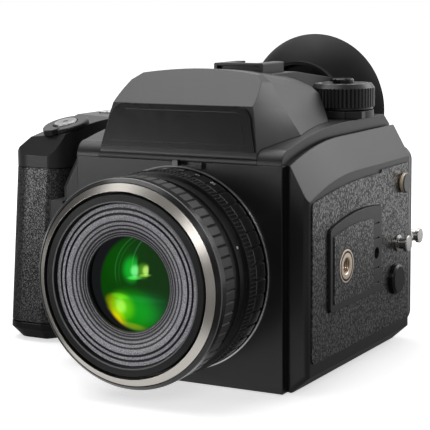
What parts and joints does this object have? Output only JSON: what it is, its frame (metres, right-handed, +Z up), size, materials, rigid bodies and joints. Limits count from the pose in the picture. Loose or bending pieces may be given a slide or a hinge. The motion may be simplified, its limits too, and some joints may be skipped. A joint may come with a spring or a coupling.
{
  "type": "medium format film camera",
  "caption": "Medium format single-lens reflex film camera with a lens, prism finder, side grip, sliding film back, and turning rings, dials, mirror and shutter.",
  "frame": {"origin": "centre of the mouth of the tripod socket in the base", "axes": "+Z up, -Y the way the lens looks, +X to the viewer's left side"},
  "size_m": [0.1584, 0.1568, 0.1236],
  "materials": {
    "body_plastic": "satin black moulded shell",
    "front_metal": "black painted die casting",
    "gloss_plate": "gloss black",
    "leather_skin": "fine pebble grain",
    "inner_plastic": "flat black",
    "lens_black": "black anodised",
    "grip_rubber": "ribbed black rubber",
    "lens_disc": "satin grey",
    "bright_ring": "turned silver",
    "steel": "satin steel",
    "fitting_black": "blackened steel",
    "control_plastic": "black knurled",
    "window": "clear window over a grey display",
    "optical_glass": "coated glass",
    "mirror_face": "front-silvered mirror",
    "blade_metal": "blackened blades",
    "cell_case": "plain battery jackets",
    "motor_case": "plated motor can",
    "spring_metal": "black anodised",
    "spool_plastic": "black moulding"
  },
  "bodies": {
    "camera_body": {"base_plate": "front_metal", "base_tripod_socket": "steel", "drive_motor": "motor_case", "eyecup": "grip_rubber", "eyepiece_frame": "body_plastic", "eyepiece_lens": "optical_glass", "focusing_screen": "optical_glass", "front_cover": "front_metal", "grip_leather": "leather_skin", "grip_shell": "inner_plastic", "grip_top_cover": "body_plastic", "hot_shoe": "fitting_black", "lcd_window": "window", "lens_mount_ring": "steel", "main_housing": "body_plastic", "mirror_box": "inner_plastic", "mount_screws": "steel", "nameplate": "gloss_plate", "pentaprism": "optical_glass", "plate_leather": "leather_skin", "prism_housing": "body_plastic", "release_housing": "body_plastic", "shutter_frame": "inner_plastic", "side_cover_left": "body_plastic", "side_cover_right": "body_plastic", "side_leather": "leather_skin", "side_tripod_socket": "steel", "strap_lugs": "fitting_black", "strap_stud": "steel", "sync_socket_cap": "control_plastic", "tripod_plate": "gloss_plate"},
    "lens": {"lens_barrel": "lens_black"},
    "aperture_ring": {"aperture_ring": "lens_black"},
    "focus_ring": {"focus_ring": "lens_black", "focus_grip": "grip_rubber", "silver_ring": "bright_ring"},
    "inner_barrel": {"inner_barrel": "lens_black", "front_disc": "lens_disc", "front_lens": "optical_glass", "rear_lens": "optical_glass"},
    "shutter_button": {"shutter_button": "steel"},
    "power_ring": {"power_ring": "control_plastic"},
    "shutter_dial": {"shutter_dial": "control_plastic"},
    "dial_lock": {"dial_lock_button": "control_plastic"},
    "drive_lever": {"drive_lever": "control_plastic"},
    "exposure_dial": {"exposure_dial": "control_plastic"},
    "lens_release": {"lens_release_button": "control_plastic"},
    "reflex_mirror": {"reflex_mirror": "mirror_face"},
    "blade_low": {"shutter_blade_low": "blade_metal"},
    "blade_middle": {"shutter_blade_middle": "blade_metal"},
    "blade_high": {"shutter_blade_high": "blade_metal"},
    "film_back": {"film_back": "body_plastic", "film_insert": "inner_plastic", "pressure_plate": "spring_metal"},
    "film_roll": {"film_roll": "spool_plastic"},
    "takeup_spool": {"takeup_spool": "spool_plastic"},
    "back_lock_key": {"back_lock_key": "fitting_black"},
    "battery_tray": {"grip_base_cap": "gloss_plate", "battery_holder": "inner_plastic", "battery_cells": "cell_case"}
  },
  "joints": [
    {"name": "lens_turn", "type": "hinge", "parent": "camera_body", "child": "lens", "pos_m": [0, -0.0456, 0.0422], "axis": [0, -1, 0], "range_deg": [0, 65]},
    {"name": "aperture_turn", "type": "hinge", "parent": "lens", "child": "aperture_ring", "pos_m": [0, -0.0456, 0.0422], "axis": [0, 1, 0], "range_deg": [0, 55]},
    {"name": "focus_turn", "type": "hinge", "parent": "lens", "child": "focus_ring", "pos_m": [0, -0.0456, 0.0422], "axis": [0, 1, 0], "range_deg": [0, 180]},
    {"name": "focus_slide", "type": "slide", "parent": "lens", "child": "inner_barrel", "axis": [0, -1, 0], "range_m": [0, 0.0107]},
    {"name": "shutter_press", "type": "slide", "parent": "camera_body", "child": "shutter_button", "axis": [0.0868, 0.251, -0.9641], "range_m": [0, 0.0012], "stiffness_N_per_m": 400, "springref_m": -0.001},
    {"name": "power_turn", "type": "hinge", "parent": "camera_body", "child": "power_ring", "pos_m": [-0.077, -0.002, 0.0874], "axis": [-0.0868, -0.251, 0.9641], "range_deg": [0, 55]},
    {"name": "dial_turn", "type": "hinge", "parent": "camera_body", "child": "shutter_dial", "pos_m": [0.0326, 0.03, 0.0927], "axis": [0, 0, 1], "range_deg": [-150, 150]},
    {"name": "dial_lock_press", "type": "slide", "parent": "shutter_dial", "child": "dial_lock", "axis": [0, 0, -1], "range_m": [0, 0.0012], "stiffness_N_per_m": 400, "springref_m": -0.001},
    {"name": "drive_turn", "type": "hinge", "parent": "camera_body", "child": "drive_lever", "pos_m": [0.0326, 0.03, 0.0927], "axis": [0, 0, 1], "range_deg": [0, 50]},
    {"name": "exposure_turn", "type": "hinge", "parent": "camera_body", "child": "exposure_dial", "pos_m": [-0.0315, 0.03, 0.0927], "axis": [0, 0, 1], "range_deg": [-120, 120]},
    {"name": "lens_release_press", "type": "slide", "parent": "camera_body", "child": "lens_release", "axis": [0, 1, 0], "range_m": [0, 0.0015], "stiffness_N_per_m": 400, "springref_m": -0.001},
    {"name": "mirror_lift", "type": "hinge", "parent": "camera_body", "child": "reflex_mirror", "pos_m": [0, 0.0135, 0.064], "axis": [-1, 0, 0], "range_deg": [0, 45]},
    {"name": "blade_high_drop", "type": "slide", "parent": "camera_body", "child": "blade_high", "axis": [0, 0, -1], "range_m": [0, 0.0424]},
    {"name": "blade_middle_drop", "type": "slide", "parent": "camera_body", "child": "blade_middle", "axis": [0, 0, -1], "range_m": [0, 0.0284]},
    {"name": "blade_low_drop", "type": "slide", "parent": "camera_body", "child": "blade_low", "axis": [0, 0, -1], "range_m": [0, 0.0144]},
    {"name": "film_back_slide", "type": "slide", "parent": "camera_body", "child": "film_back", "axis": [0, 1, 0], "range_m": [0, 0.06]},
    {"name": "film_roll_turn", "type": "hinge", "parent": "film_back", "child": "film_roll", "pos_m": [0, 0.0398, 0.0207], "axis": [1, 0, 0], "continuous": true},
    {"name": "takeup_turn", "type": "hinge", "parent": "film_back", "child": "takeup_spool", "pos_m": [0, 0.0398, 0.0637], "axis": [1, 0, 0], "continuous": true},
    {"name": "lock_key_turn", "type": "hinge", "parent": "film_back", "child": "back_lock_key", "pos_m": [0.0464, 0.0603, 0.041], "axis": [0, 1, 0], "range_deg": [0, 90]},
    {"name": "battery_tray_slide", "type": "slide", "parent": "camera_body", "child": "battery_tray", "axis": [0, 0, -1], "range_m": [0, 0.06]}
  ],
  "couplings": [
    {"joint": "focus_slide", "follows": "focus_turn", "m_per_rad": 0.003405},
    {"joint": "blade_middle_drop", "follows": "blade_high_drop", "ratio": 0.66981},
    {"joint": "blade_low_drop", "follows": "blade_high_drop", "ratio": 0.33962}
  ]
}
